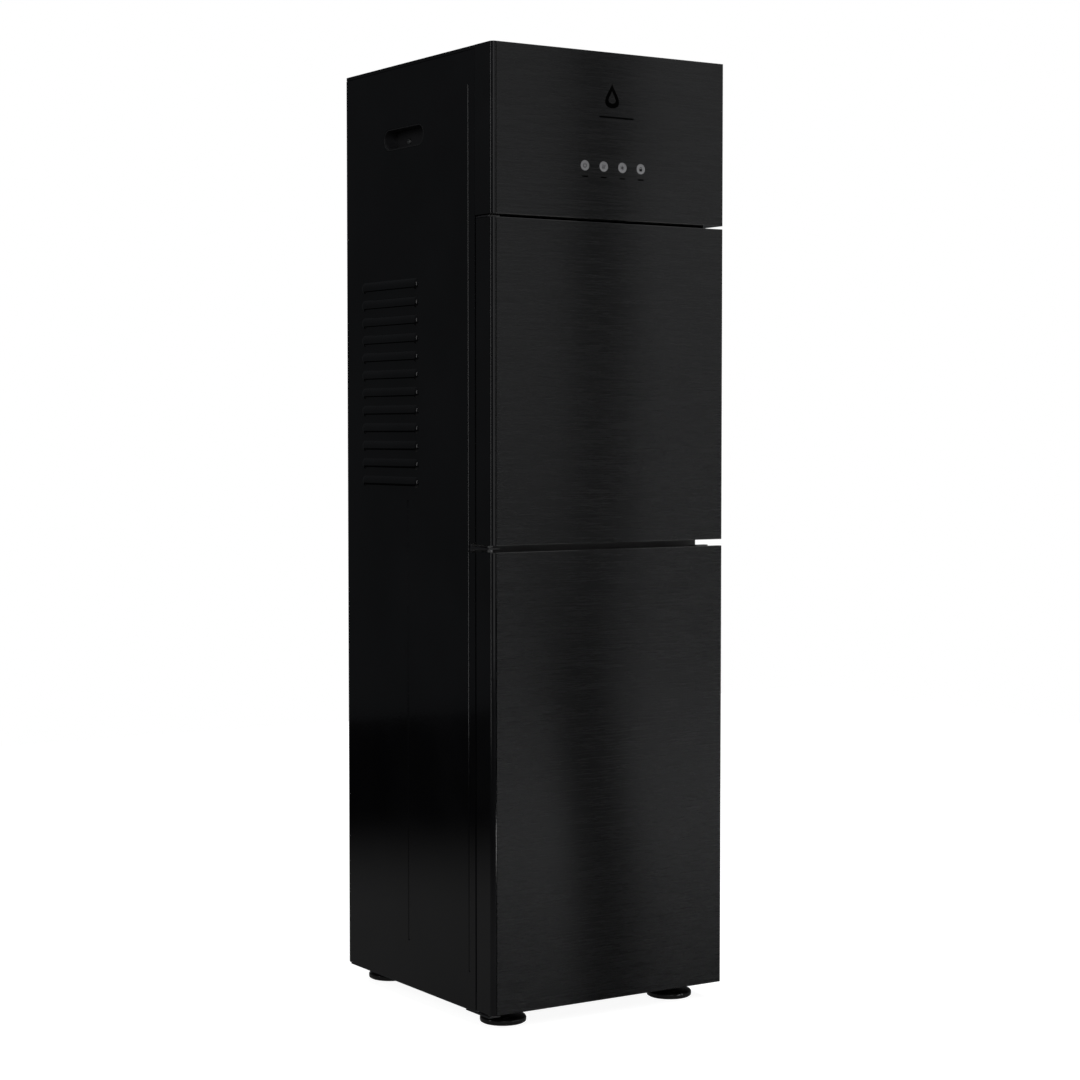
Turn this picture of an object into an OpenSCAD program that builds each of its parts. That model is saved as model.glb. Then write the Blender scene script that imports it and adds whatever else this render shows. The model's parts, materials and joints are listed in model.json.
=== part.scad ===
// Floor-standing water dispenser: a bottle cabinet below, a closed dispensing bay
// in the middle and a control fascia on top. Millimetres, +Z up, front towards -Y,
// origin on the floor under the middle of the cabinet.

/* [Cabinet] */
// Width of the cabinet, without the louvres that stand out of its sides
body_w = 310; // [300:1:330]
// Overall depth, door skins to rear screw heads
body_d = 330; // [324:1:360]
// Overall height with the feet
body_h = 1075; // [1060:1:1120]
// Height of the cabinet's underside above the floor
foot_h = 16; // [14:1:20]
// Sheet thickness of the side panels
panel_t = 1; // [0.8:0.1:1.2]

/* [Doors] */
// Thickness of both doors, skin included
door_t = 34; // [30:1:36]
// Top of the lower door
lower_door_top = 525.5; // [520:0.5:530]
// Height of the gap between the two doors
door_gap = 7.4; // [6:0.1:9]
// Underside of the fascia
fascia_bottom = 891; // [885:1:900]
// Height of the gap between the middle door and the fascia
fascia_gap = 3.5; // [3:0.1:4]
// Radius of the left front edge of doors and fascia
edge_r = 5.4; // [3:0.1:7]
// Radius of the hinge pins
pin_r = 3; // [2.5:0.1:3.5]

/* [Controls] */
// Number of push-buttons on the fascia
button_count = 4; // [4:1:4]
// Distance between push-buttons
button_pitch = 25; // [22:0.5:28]
// Radius of a push-button's cap
button_r = 5.7; // [5:0.05:7]
// Height of the row of push-buttons
button_z = 949; // [940:1:960]
// Distance between taps
tap_pitch = 62; // [56:1:66]

/* [Side panels] */
// Number of louvres in each side panel
louvre_count = 12; // [4:1:12]
// Distance between louvres
louvre_pitch = 20.5; // [18:0.5:21]
// Length of a louvre between the centres of its rounded ends
louvre_len = 120; // [80:1:122]
// Length of the recessed side grip
grip_len = 92; // [80:1:100]
// Height of the recessed side grip
grip_h = 25; // [22:1:28]

/* [Hidden] */
$fn = 48;
half_w = body_w / 2;
front = -body_d / 2;
rear = body_d / 2;
skin_t = 0.8;
door_back = front + door_t;
cab_front = door_back + 2.5;
cab_rear = rear - 1.5;
panel_in = half_w - panel_t;
panel_bottom = foot_h + 2.4;
panel_top = body_h - 4.4;

// Pillars, rails and openings of the front frame
frame_x = half_w - 2.3;
frame_back = cab_front + 24.5;
frame_bottom = foot_h + 1.8;
frame_top = fascia_bottom - 2.7;
lower_open_x = 138;
lower_open = [foot_h + 14, lower_door_top - 10.5];
bay_open_x = 135;
mid_door_bottom = lower_door_top + door_gap;
mid_door_top = fascia_bottom - fascia_gap;
bay_open = [mid_door_bottom + 13.1, mid_door_top - 12.5];
lower_door_bottom = foot_h + 3;

// Hinge line of both doors
hinge_x = -half_w + 8;
hinge_y = front + 18;
bore_gap = 0.07;

// Decks between the compartments
low_deck_z = bay_open[0] - 10;
bay_back = -10;
deck_step_y = bay_back + 2;
high_deck_z = low_deck_z + 52;
upper_back_y = cab_rear - 16.5;
lower_back_y = cab_rear - 1.8;
top_deck_z = fascia_bottom - 0.2;
sheet = 1.2;

// Taps
tap_y = -58;
tap_z = 790;
lever_z = tap_z + 44;
tap_bore_z = tap_z - 48;

// Bottle and probe
bottle_y = 26;
bottle_r = 135;
probe_x = 124;
probe_y = 130;
probe_shelf_z = 524;

// Tanks
cold_x = -53;
tank_y = 45;
hot_x = 80;
tank_base_z = top_deck_z + 14;

// Feet
foot_x = 114;
foot_front_y = -120;
foot_rear_y = 136;
stem_r = 5;

// Side louvres and grip
louvre_y = 0;
louvre_z = 598.5;
louvre_r = 9;
louvre_rise = 2.5;
grip_y = 27.5;
grip_z = 991;
grip_depth = 16;

// Rear switches, inlet and drain
rocker_x = [-34, -10];
rocker_z = 1034;
rocker_y = upper_back_y - 3;
rocker_tilt = 8;
inlet_x = 112;
inlet_z = 630;
drain_z = tank_base_z + 10;

// A box between two corners
module slab(x, y, z) {
    translate([x[0], y[0], z[0]])
        cube([x[1] - x[0], y[1] - y[0], z[1] - z[0]]);
}

// Round bars along each axis
module bar_x(r, x, y, z) {
    translate([x[0], y, z])
        rotate([0, 90, 0])
            cylinder(r = r, h = x[1] - x[0]);
}

module bar_y(r, x, y, z) {
    translate([x, y[1], z])
        rotate([90, 0, 0])
            cylinder(r = r, h = y[1] - y[0]);
}

module bar_z(r, x, y, z) {
    translate([x, y, z[0]])
        cylinder(r = r, h = z[1] - z[0]);
}

// A rectangular tube: an outer box less an inner one, open along the inner one's long sides
module ring(x, y, z, hole_x, hole_z) {
    difference() {
        slab(x, y, z);
        slab(hole_x, [y[0] - 1, y[1] + 1], hole_z);
    }
}

// Outline of a front part in plan, with its left front edge rounded
module front_plan(y_front, y_back) {
    translate([-half_w + edge_r, y_front])
        square([body_w - edge_r, y_back - y_front]);
    translate([-half_w, y_front + edge_r])
        square([body_w, y_back - y_front - edge_r]);
    translate([-half_w + edge_r, y_front + edge_r])
        circle(r = edge_r);
}

// A stadium across the side panel: round ends along Y, drawn from x[0] to x[1]
module stadium(r, len, x, y, z) {
    bar_x(r, x, y - len / 2, z);
    bar_x(r, x, y + len / 2, z);
    slab(x, [y - len / 2, y + len / 2], [z - r, z + r]);
}

// A capsule along Y whose axis lies inside the left panel
module louvre_capsule(r, z) {
    x = -half_w + louvre_r - louvre_rise;
    translate([x, louvre_y, z])
        sphere(r = r);
    translate([x, louvre_y + louvre_len, z])
        sphere(r = r);
    bar_y(r, x, [louvre_y, louvre_y + louvre_len], z);
}

// Raised louvre, drawn for the left panel, with its mouth along its lower edge
module louvre_hood(z) {
    difference() {
        intersection() {
            louvre_capsule(louvre_r, z);
            slab([-half_w - 3, -half_w + 0.5], [louvre_y - 10, louvre_y + louvre_len + 10], [z - 9, z + 9]);
        }
        louvre_capsule(louvre_r - panel_t, z);
        slab([-half_w - 3, -half_w], [louvre_y + 2, louvre_y + louvre_len - 2], [z - 7, z - 3.5]);
    }
}

// Narrow vertical bead pressed into the left panel
module bead(y, z) {
    r = 4.5;
    x = -half_w - r + 0.7;
    translate([x, y, z[0]])
        sphere(r = r);
    translate([x, y, z[1]])
        sphere(r = r);
    bar_z(r, x, y, z);
}

function louvre_at(i) = louvre_z + i * louvre_pitch;
function rear_screw_z() = [for (i = [0 : 4]) 70 + i * 118];

module side_panel() {
    difference() {
        union() {
            slab([-half_w, -panel_in], [cab_front, cab_rear], [panel_bottom, panel_top]);
            slab([-half_w, -half_w + 12], [cab_rear - 0.8, cab_rear], [panel_bottom, panel_top]);
            for (i = [0 : louvre_count - 1])
                louvre_hood(louvre_at(i));
        }
        for (i = [0 : louvre_count - 1])
            stadium(4.2, louvre_len, [-half_w - 0.05, -half_w + 2], louvre_y + louvre_len / 2, louvre_at(i));
        bead(cab_front + 12.7, [61, body_h - 42]);
        bead(19, [72, 576]);
        stadium(grip_h / 2, grip_len - grip_h, [-half_w - 1, -half_w + 3], grip_y, grip_z);
        slab([-half_w - 1, -half_w + 3], [cab_front - 1, cab_front + 14.5],
             [lower_door_top - 1.5, mid_door_bottom + 1.5]);
        for (z = rear_screw_z())
            bar_y(1.7, -half_w + 6.5, [cab_rear - 2, cab_rear + 1], z);
    }
}

module side_panel_left() {
    color("#101010")
        side_panel();
}

module side_panel_right() {
    color("#101010")
        mirror([1, 0, 0])
            side_panel();
}

module grip_cup() {
    span = grip_len - grip_h;
    difference() {
        union() {
            stadium(grip_h / 2 - 0.2, span, [-half_w, -half_w + grip_depth + 1.5], grip_y, grip_z);
            stadium(grip_h / 2 + 5, span, [-panel_in + 0.05, -panel_in + 1.6], grip_y, grip_z);
        }
        stadium(grip_h / 2 - 1.7, span, [-half_w - 1, -half_w + grip_depth], grip_y, grip_z);
    }
}

module side_grips() {
    color("#141414") {
        grip_cup();
        mirror([1, 0, 0])
            grip_cup();
    }
}

module back_panel_lower() {
    color("#1b1b1b")
        difference() {
            slab([-panel_in + 0.3, panel_in - 0.3], [lower_back_y, lower_back_y + 0.8],
                 [panel_bottom + 0.2, high_deck_z - 0.6]);
            for (side = [-1, 1], z = rear_screw_z())
                bar_y(1.7, side * (half_w - 6.5), [lower_back_y - 1, lower_back_y + 2], z);
        }
}

module back_panel_upper() {
    y = [upper_back_y, upper_back_y + 0.8];
    cut_y = [y[0] - 1, y[1] + 1];
    color("#1b1b1b")
        difference() {
            slab([-panel_in + 0.3, panel_in - 0.3], y, [high_deck_z + sheet + 0.2, panel_top - 0.2]);
            slab([rocker_x[0] - 12, rocker_x[1] + 12], cut_y, [rocker_z - 14, rocker_z + 14]);
            bar_y(8.1, inlet_x, cut_y, inlet_z);
            bar_y(8.2, hot_x, cut_y, drain_z);
            for (i = [0 : 5], side = [-1, 1])
                slab([80 + 6 * side - 14, 80 + 6 * side + 14], cut_y,
                     [700 + i * 12 + side, 704 + i * 12 + side]);
            for (side = [-1, 1], i = [0 : 3])
                bar_y(1.7, side * 144, cut_y, 640 + i * 130);
        }
}

module top_cover() {
    lip = 1.5;
    y_rear = cab_rear - 0.9;
    color("#121212") {
        difference() {
            slab([-half_w, half_w], [cab_front - 0.2, cab_rear], [panel_top + 0.3, body_h]);
            slab([-half_w + 14, half_w - 14], [cab_front + 14, cab_rear - 14], [body_h - 1, body_h + 1]);
            slab([-half_w + 4, half_w - 4], [cab_front + 4, cab_rear - 4], [panel_top, body_h - 2.2]);
        }
        difference() {
            slab([-panel_in + 0.2, panel_in - 0.2], [cab_front + 0.2, upper_back_y - 0.2],
                 [panel_top - 9, panel_top + 0.3]);
            slab([-panel_in + 0.2 + lip, panel_in - 0.2 - lip],
                 [cab_front + 0.2 + lip, upper_back_y - 0.2 - lip], [panel_top - 10, panel_top + 0.2]);
        }
    }
}

module base_pan() {
    x = half_w - 1.1;
    y = [cab_front + 0.1, lower_back_y - 0.2];
    color("#202020")
        difference() {
            union() {
                slab([-x, x], y, [foot_h, foot_h + 1.6]);
                for (side = [-1, 1])
                    slab([side * x - (side + 1) / 2, side * x + (1 - side) / 2], y, [foot_h, foot_h + 22]);
            }
            for (side = [-1, 1], fy = [foot_front_y, foot_rear_y])
                bar_z(stem_r + 0.08, side * foot_x, fy, [foot_h - 1, foot_h + 3]);
        }
}

module front_frame() {
    color("#191919")
        difference() {
            slab([-frame_x, frame_x], [cab_front, frame_back], [frame_bottom, frame_top]);
            slab([-lower_open_x, lower_open_x], [cab_front - 1, frame_back + 1], lower_open);
            slab([-bay_open_x, bay_open_x], [cab_front - 1, frame_back + 1], bay_open);
            slab([-frame_x - 1, frame_x + 1], [cab_front - 1, cab_front + 14.5],
                 [lower_door_top - 1.5, mid_door_bottom + 1.5]);
            for (side = [-1, 1])
                bar_z(12, side * foot_x, foot_front_y, [frame_bottom - 1, foot_h + 12]);
            for (z = [270, 700])
                slab([lower_open_x + 10, lower_open_x + 13], [cab_front - 1, cab_front + 6],
                     [z - 20, z + 20]);
        }
}

module mid_deck() {
    x = panel_in - 0.4;
    y = [frame_back + 0.2, lower_back_y - 0.2];
    color("#8f9498")
        difference() {
            union() {
                slab([-x, x], [y[0], deck_step_y + sheet], [low_deck_z, low_deck_z + sheet]);
                slab([-x, x], [deck_step_y, deck_step_y + sheet], [low_deck_z, high_deck_z + sheet]);
                slab([-x, x], [deck_step_y, y[1]], [high_deck_z, high_deck_z + sheet]);
            }
            bar_z(6.6, probe_x, probe_y, [high_deck_z - 1, high_deck_z + 3]);
        }
}

module upper_deck() {
    x = panel_in - 0.4;
    z = [top_deck_z, top_deck_z + sheet];
    color("#8f9498")
        difference() {
            slab([-x, x], [cab_front + 0.3, upper_back_y - 0.2], z);
            for (i = [-1 : 1])
                bar_z(7, i * tap_pitch, 6, [z[0] - 1, z[1] + 1]);
            bar_z(7, 12, 115, [z[0] - 1, z[1] + 1]);
        }
}

module bottle_tray() {
    x = 137;
    y = [frame_back + 0.3, lower_back_y - 1];
    z = [frame_bottom, foot_h + 14];
    color("#3a3c3e") {
        difference() {
            slab([-x, x], y, z);
            slab([-x + 2.5, x - 2.5], [y[0] + 2.5, y[1] - 2.5], [z[0] - 1, z[1] - 2.5]);
        }
        difference() {
            intersection() {
                bar_z(bottle_r + 3.5, 0, bottle_y, [z[1], z[1] + 4]);
                slab([-x, x], [0, y[1]], [z[1], z[1] + 4]);
            }
            bar_z(bottle_r + 1, 0, bottle_y, [z[1] - 1, z[1] + 5]);
        }
    }
}

function button_x(i) = 2.5 + (i - (button_count - 1) / 2) * button_pitch;

module fascia_body() {
    wall = 3.4;
    y = [front + skin_t, door_back + 2.2];
    color("#121212")
        difference() {
            union() {
                difference() {
                    translate([0, 0, fascia_bottom])
                        linear_extrude(height = body_h - fascia_bottom)
                            front_plan(y[0], y[1]);
                    slab([-half_w + wall, half_w - wall], [y[0] + wall, y[1] + 1],
                         [fascia_bottom + wall, body_h - wall]);
                }
                for (x = [-62, 66], z = [button_z - 21, button_z + 29])
                    bar_y(3.5, x, [y[0] + wall - 0.2, front + 17], z);
            }
            for (i = [0 : button_count - 1])
                bar_y(button_r + 0.08, button_x(i), [front - 1, front + 8], button_z);
        }
}

module skin_plate(z) {
    slab([-half_w + edge_r, half_w - 0.8], [front, front + skin_t], z);
}

module fascia_skin() {
    color("#3b3b3b")
        difference() {
            skin_plate([fascia_bottom + 0.6, body_h - 0.6]);
            for (i = [0 : button_count - 1])
                bar_y(button_r + 0.08, button_x(i), [front - 1, front + 2], button_z);
        }
}

module control_board() {
    y = front + 17;
    color("#1f5a35")
        slab([-68, 72], [y, y + 1.6], [button_z - 26, button_z + 34]);
    color("#c8c8c8")
        for (i = [0 : button_count - 1]) {
            slab([button_x(i) - 3, button_x(i) + 3], [y - 3, y], [button_z - 3, button_z + 3]);
            bar_y(1.7, button_x(i), [y - 3.4, y - 3], button_z);
        }
}

// Button cap with a flange that holds it behind the fascia and a stem down to its switch
module push_button(i) {
    x = button_x(i);
    wall_back = front + skin_t + 3.4;
    color("#77797b") {
        bar_y(button_r, x, [front, wall_back + 0.3], button_z);
        bar_y(button_r + 1.8, x, [wall_back + 0.3, wall_back + 1.8], button_z);
        bar_y(2.6, x, [wall_back + 1.8, front + 12.2], button_z);
    }
}

module button_power() {
    push_button(0);
}

module button_hot() {
    push_button(1);
}

module button_cold() {
    push_button(2);
}

module button_lock() {
    push_button(3);
}

module bracket_plate(y_back, z) {
    difference() {
        slab([-half_w + 2.4, -half_w + 17], [hinge_y - 6, y_back], z);
        bar_z(pin_r + 0.04, hinge_x, hinge_y, [z[0] - 1, z[1] + 1]);
    }
}

module hinge_brackets() {
    gap_y = cab_front + 14.4;
    gap_z = lower_door_top + door_gap / 2;
    color("#202020") {
        bracket_plate(frame_back, [frame_top + 0.1, frame_top + 2.1]);
        bracket_plate(gap_y, [gap_z - 1, gap_z + 1]);
        slab([-half_w + 2.4, -half_w + 17], [gap_y - 2, gap_y], [gap_z - 4, gap_z + 4]);
        bracket_plate(frame_back, [foot_h - 2, foot_h - 0.1]);
    }
}

module hinge_pins() {
    color("#b8bbbe") {
        bar_z(pin_r, hinge_x, hinge_y, [mid_door_top - 12, frame_top + 2.1]);
        bar_z(pin_r, hinge_x, hinge_y, [lower_door_top - 9, mid_door_bottom + 9]);
        bar_z(pin_r, hinge_x, hinge_y, [foot_h - 2, lower_door_bottom + 10]);
    }
}

// Ribbed plastic door, closed in front by its skin, with a finger notch at its free corner
module door_body(z, notch_z) {
    wall = 3;
    y = [front + skin_t, door_back];
    color("#121212")
        difference() {
            translate([0, 0, z[0]])
                linear_extrude(height = z[1] - z[0])
                    front_plan(y[0], y[1]);
            difference() {
                slab([-half_w + 20, half_w - wall], [y[0] - 1, y[1] - wall], [z[0] + wall, z[1] - wall]);
                slab([half_w - 42, half_w], y, [notch_z[0] - wall, notch_z[1] + wall]);
                for (i = [1 : 3])
                    slab([-half_w, half_w], [y[0], y[1]],
                         [z[0] + i * (z[1] - z[0]) / 4 - 1, z[0] + i * (z[1] - z[0]) / 4 + 1]);
            }
            slab([half_w - 37, half_w + 1], [front + 6, door_back - 7], notch_z);
            bar_z(pin_r + bore_gap, hinge_x, hinge_y, [z[0] - 1, z[0] + 13]);
            bar_z(pin_r + bore_gap, hinge_x, hinge_y, [z[1] - 13, z[1] + 1]);
        }
}

module door_gasket(z) {
    out = half_w - 8;
    strip = 7;
    color("#0c0c0c")
        ring([-out, out], [door_back, cab_front - 0.3], z, [-out + strip, out - strip],
             [z[0] + strip, z[1] - strip]);
}

module middle_door_body() {
    door_body([mid_door_bottom, mid_door_top], [mid_door_bottom - 1, mid_door_bottom + 20]);
}

module middle_door_skin() {
    color("#3b3b3b")
        skin_plate([mid_door_bottom + 0.6, mid_door_top - 0.6]);
}

module middle_door_gasket() {
    door_gasket([mid_door_bottom + 5, mid_door_top - 5]);
}

module lower_door_body() {
    door_body([lower_door_bottom, lower_door_top], [lower_door_top - 22, lower_door_top + 1]);
}

module lower_door_skin() {
    color("#3b3b3b")
        skin_plate([lower_door_bottom + 0.6, lower_door_top - 0.6]);
}

module lower_door_gasket() {
    door_gasket([lower_door_bottom + 4, lower_door_top - 3.5]);
}

module door_magnets() {
    color("#7d7f82")
        for (z = [270, 700])
            slab([lower_open_x + 10, lower_open_x + 13], [cab_front, cab_front + 6], [z - 20, z + 20]);
}

module bay_liner() {
    wall = 2.5;
    x = bay_open_x - 0.2;
    y = [cab_front + 0.2, bay_back];
    z = [bay_open[0] + 0.2, bay_open[1] - 0.2];
    color("#1d1e20")
        difference() {
            slab([-x, x], y, z);
            slab([-x + wall, x - wall], [y[0] - 1, y[1] - wall], [z[0] + wall, z[1] - wall]);
            for (i = [-1 : 1])
                bar_y(7.7, i * tap_pitch, [y[1] - 4, y[1] + 1], tap_z);
        }
}

module tap(x) {
    difference() {
        union() {
            bar_z(12, x, tap_y, [tap_z - 22, tap_z + 22]);
            bar_z(13.5, x, tap_y, [tap_z + 22, tap_z + 28]);
            bar_z(7, x, tap_y, [tap_bore_z, tap_z - 22]);
            bar_y(7.5, x, [tap_y, bay_back + 8], tap_z);
            bar_y(14, x, [bay_back - 5.5, bay_back - 2.6], tap_z);
            for (side = [-1, 1])
                slab([x + side * 7.25 - 1.25, x + side * 7.25 + 1.25], [tap_y - 5, tap_y + 5],
                     [tap_z + 28, lever_z + 5]);
            bar_x(2, [x - 7, x + 7], tap_y, lever_z);
        }
        bar_z(4.5, x, tap_y, [tap_bore_z - 1, tap_z - 10]);
    }
}

module taps() {
    color("#c9cbcd")
        for (i = [-1 : 1])
            tap(i * tap_pitch);
}

// Side profile of a tap lever, y across and z up, measured from its pivot
module lever_profile(low_z) {
    polygon([[-2, 3.5], [-26, -6], [-31, -12], [-38, low_z], [-42, low_z], [-35, -10], [-28, -2.5], [-3, 5]]);
}

module tap_lever(x) {
    difference() {
        union() {
            bar_x(4.5, [x - 5.5, x + 5.5], tap_y, lever_z);
            translate([x - 4.5, tap_y, lever_z])
                rotate([90, 0, 90])
                    linear_extrude(height = 9)
                        lever_profile(-60);
            translate([x - 13, tap_y, lever_z])
                rotate([90, 0, 90])
                    linear_extrude(height = 26)
                        polygon([[-36, -40], [-38.5, -66], [-42.5, -66], [-40, -40]]);
        }
        bar_x(2.06, [x - 7, x + 7], tap_y, lever_z);
    }
}

module tap_lever_hot() {
    color("#b3261e")
        tap_lever(tap_pitch);
}

module tap_lever_ambient() {
    color("#d8d8d8")
        tap_lever(0);
}

module tap_lever_cold() {
    color("#2456a6")
        tap_lever(-tap_pitch);
}

module drip_tray() {
    x = 122;
    y = [cab_front + 3.5, bay_back - 12];
    z = [bay_open[0] + 3.2, bay_open[0] + 26];
    color("#222325")
        difference() {
            slab([-x, x], y, z);
            slab([-x + 2, x - 2], [y[0] + 2, y[1] - 2], [z[0] + 2, z[1] + 1]);
        }
}

module drip_grille() {
    x = 122;
    y = [cab_front + 3.5, bay_back - 12];
    z = [bay_open[0] + 26.1, bay_open[0] + 28.6];
    slot_count = 19;
    color("#8a8d90")
        difference() {
            slab([-x, x], y, z);
            for (i = [0 : slot_count - 1])
                slab([-111 + i * 12, -105 + i * 12], [y[0] + 10, y[1] - 10], [z[0] - 1, z[1] + 1]);
        }
}

// A silicone tube from a tap's tail up through the upper deck
module feed_tube(x) {
    bend_y = 6;
    bar_y(6, x, [bay_back + 8.1, bend_y], tap_z);
    translate([x, bend_y, tap_z])
        sphere(r = 6);
    bar_z(6, x, bend_y, [tap_z, top_deck_z + sheet]);
}

module water_tubes() {
    color("#d9dde0") {
        for (i = [-1 : 1])
            feed_tube(i * tap_pitch);
        bar_z(6, probe_x, probe_y, [high_deck_z + 0.1, high_deck_z + 22]);
        translate([probe_x, probe_y, high_deck_z + 22])
            sphere(r = 6);
        bar_x(6, [106.2, probe_x], probe_y, high_deck_z + 22);
        bar_x(6, [12, 57.8], 115, high_deck_z + 22);
        translate([12, 115, high_deck_z + 22])
            sphere(r = 6);
        bar_z(6, 12, 115, [high_deck_z + 22, top_deck_z + sheet]);
        bar_y(5, hot_x, [tank_y + 42, upper_back_y - 3.2], drain_z);
    }
}

module pump() {
    z = high_deck_z + sheet + 0.1;
    color("#2c2e30") {
        slab([58, 106], [96, 138], [z, z + 36]);
        bar_z(17, 82, 117, [z + 36, z + 98]);
        bar_z(11, 82, 117, [z + 98, z + 102]);
    }
}

module compressor() {
    x = -78;
    y = 72;
    z = high_deck_z + sheet + 14;
    color("#151515")
        difference() {
            union() {
                slab([x - 58, x + 58], [y - 42, y + 42], [z, z + 2.5]);
                bar_z(43, x, y, [z + 2.5, z + 104]);
                translate([x, y, z + 104])
                    rotate_extrude()
                        polygon([[0, 0], [43, 0], [40, 9], [31, 16], [16, 20], [0, 21]]);
                slab([x + 38, x + 58], [y - 20, y + 20], [z + 40, z + 84]);
                bar_y(4, x - 20, [y + 30, y + 60], z + 78);
            }
            for (sx = [-1, 1], sy = [-1, 1])
                bar_z(4.2, x + sx * 50, y + sy * 34, [z - 1, z + 4]);
        }
}

module compressor_mounts() {
    x = -78;
    y = 72;
    z = high_deck_z + sheet + 0.1;
    color("#0d0d0d")
        for (sx = [-1, 1], sy = [-1, 1]) {
            bar_z(8, x + sx * 50, y + sy * 34, [z, z + 13.8]);
            bar_z(3.9, x + sx * 50, y + sy * 34, [z + 13.8, z + 19]);
        }
}

// Serpentine of refrigerant tube behind the cabinet, held by two straps
module condenser() {
    r = 2.4;
    pitch = 30;
    rows = 14;
    x = [-132, 46];
    y = upper_back_y + 10;
    z = 612;
    color("#0e0e0e") {
        for (i = [0 : rows - 1])
            bar_x(r, x, y, z + i * pitch);
        for (i = [0 : rows - 2])
            translate([x[1 - i % 2], y, z + (i + 0.5) * pitch])
                rotate([90, i % 2 == 0 ? 0 : 180, 0])
                    rotate([0, 0, -90])
                        rotate_extrude(angle = 180)
                            translate([pitch / 2, 0])
                                circle(r = r);
        for (sx = [x[0] + 10, x[1] - 22])
            slab([sx, sx + 12], [upper_back_y + 0.9, y], [z - 6, z + (rows - 1) * pitch + 6]);
    }
}

module filter_drier() {
    x = 26;
    y = 84;
    z = high_deck_z + 60;
    color("#b5713c") {
        bar_z(9, x, y, [z, z + 90]);
        bar_z(3, x, y, [z - 24, z]);
        bar_z(3, x, y, [z + 90, z + 130]);
        translate([x, y, z + 130])
            sphere(r = 3);
        bar_y(3, x, [y, upper_back_y - 0.4], z + 130);
    }
}

module cold_tank() {
    r = 59;
    z = [tank_base_z, tank_base_z + 126];
    color("#c4c8cb") {
        difference() {
            bar_z(r, cold_x, tank_y, z);
            bar_z(r - 1.2, cold_x, tank_y, [z[0] + 1.2, z[1] + 1]);
        }
        bar_z(r + 2, cold_x, tank_y, [z[1], z[1] + 2]);
    }
}

module evaporator_coil() {
    r = 3;
    color("#b5713c")
        for (i = [0 : 6])
            translate([cold_x, tank_y, tank_base_z + 16 + i * 15])
                rotate_extrude()
                    translate([59.4 + r, 0])
                        circle(r = r);
}

module tank_insulation() {
    z = [top_deck_z + sheet + 0.1, tank_base_z + 132];
    color("#e9e7df") {
        difference() {
            slab([-131, 25], [tank_y - 80, tank_y + 80], z);
            bar_z(67, cold_x, tank_y, [z[0] + 12, z[1] + 1]);
        }
        slab([-131, 25], [tank_y - 80, tank_y + 80], [z[1] + 0.1, z[1] + 12]);
        difference() {
            bar_z(53, hot_x, tank_y, z);
            bar_z(43.5, hot_x, tank_y, [z[0] + 12, z[1] + 1]);
            bar_y(5.3, hot_x, [tank_y, tank_y + 60], drain_z);
        }
    }
}

module hot_tank() {
    z = [tank_base_z, tank_base_z + 126];
    color("#c4c8cb") {
        difference() {
            bar_z(41, hot_x, tank_y, z);
            bar_z(39.8, hot_x, tank_y, [z[0] + 1.2, z[1] + 1]);
        }
        bar_z(43, hot_x, tank_y, [z[1], z[1] + 2]);
        bar_z(10, hot_x, tank_y, [z[1] + 2, z[1] + 12]);
    }
}

module power_board() {
    color("#1f5a35")
        slab([146, 147.6], [10, 120], [640, 770]);
    color("#8f9498")
        slab([147.6, 149], [30, 100], [high_deck_z + sheet + 0.1, 660]);
    color("#2c2e30") {
        slab([128, 146], [20, 48], [655, 690]);
        slab([126, 146], [60, 100], [660, 700]);
    }
    color("#3c5f9e")
        bar_x(12, [118, 146], 45, 735);
    color("#9a9da0")
        slab([124, 146], [75, 110], [715, 755]);
}

module rocker_cut(x) {
    slab([x - 9.3, x + 9.3], [rocker_y - 12, upper_back_y + 6], [rocker_z - 11.5, rocker_z + 11.5]);
}

module switch_housing() {
    color("#141414")
        difference() {
            union() {
                slab([rocker_x[0] - 11.8, rocker_x[1] + 11.8], [rocker_y - 14, upper_back_y + 0.9],
                     [rocker_z - 13.8, rocker_z + 13.8]);
                slab([rocker_x[0] - 14, rocker_x[1] + 14], [upper_back_y + 0.9, upper_back_y + 2.4],
                     [rocker_z - 16, rocker_z + 16]);
            }
            for (x = rocker_x)
                rocker_cut(x);
        }
}

// Rocker cap, tipped to its off side
module rocker(x) {
    translate([x, rocker_y, rocker_z])
        rotate([rocker_tilt, 0, 0]) {
            slab([-8.8, 8.8], [-1, 5.5], [-10.4, 10.4]);
            bar_x(4, [-8.8, 8.8], 0, 0);
        }
}

module rocker_hot() {
    color("#a5221b")
        rocker(rocker_x[0]);
}

module rocker_cold() {
    color("#1f5a35")
        rocker(rocker_x[1]);
}

module cable_gland() {
    color("#111111")
        difference() {
            union() {
                bar_y(7.9, inlet_x, [upper_back_y - 8, upper_back_y + 6], inlet_z);
                bar_y(11, inlet_x, [upper_back_y + 0.9, upper_back_y + 5], inlet_z);
                bar_y(8.6, inlet_x, [upper_back_y + 5, upper_back_y + 14], inlet_z);
                bar_y(11, inlet_x, [upper_back_y - 5, upper_back_y - 0.1], inlet_z);
            }
            bar_y(3.6, inlet_x, [upper_back_y - 9, upper_back_y + 15], inlet_z);
        }
}

module drain_plug() {
    color("#d9dde0") {
        bar_y(8, hot_x, [upper_back_y - 3, upper_back_y + 6], drain_z);
        bar_y(12, hot_x, [upper_back_y + 0.9, upper_back_y + 3], drain_z);
        bar_y(10.5, hot_x, [upper_back_y + 6, upper_back_y + 15], drain_z);
    }
}

module foot(x, y) {
    color("#0b0b0b")
        translate([x, y, 0])
            union() {
                rotate_extrude()
                    polygon([[0, 0], [24, 0], [25.6, 1], [26, 2.5], [26, 5], [25, 6.6], [20, 8.2],
                             [9, 9.6], [8, 10.5], [8, 12.6], [0, 12.6]]);
                cylinder(r = stem_r, h = foot_h + 10.5);
            }
}

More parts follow.
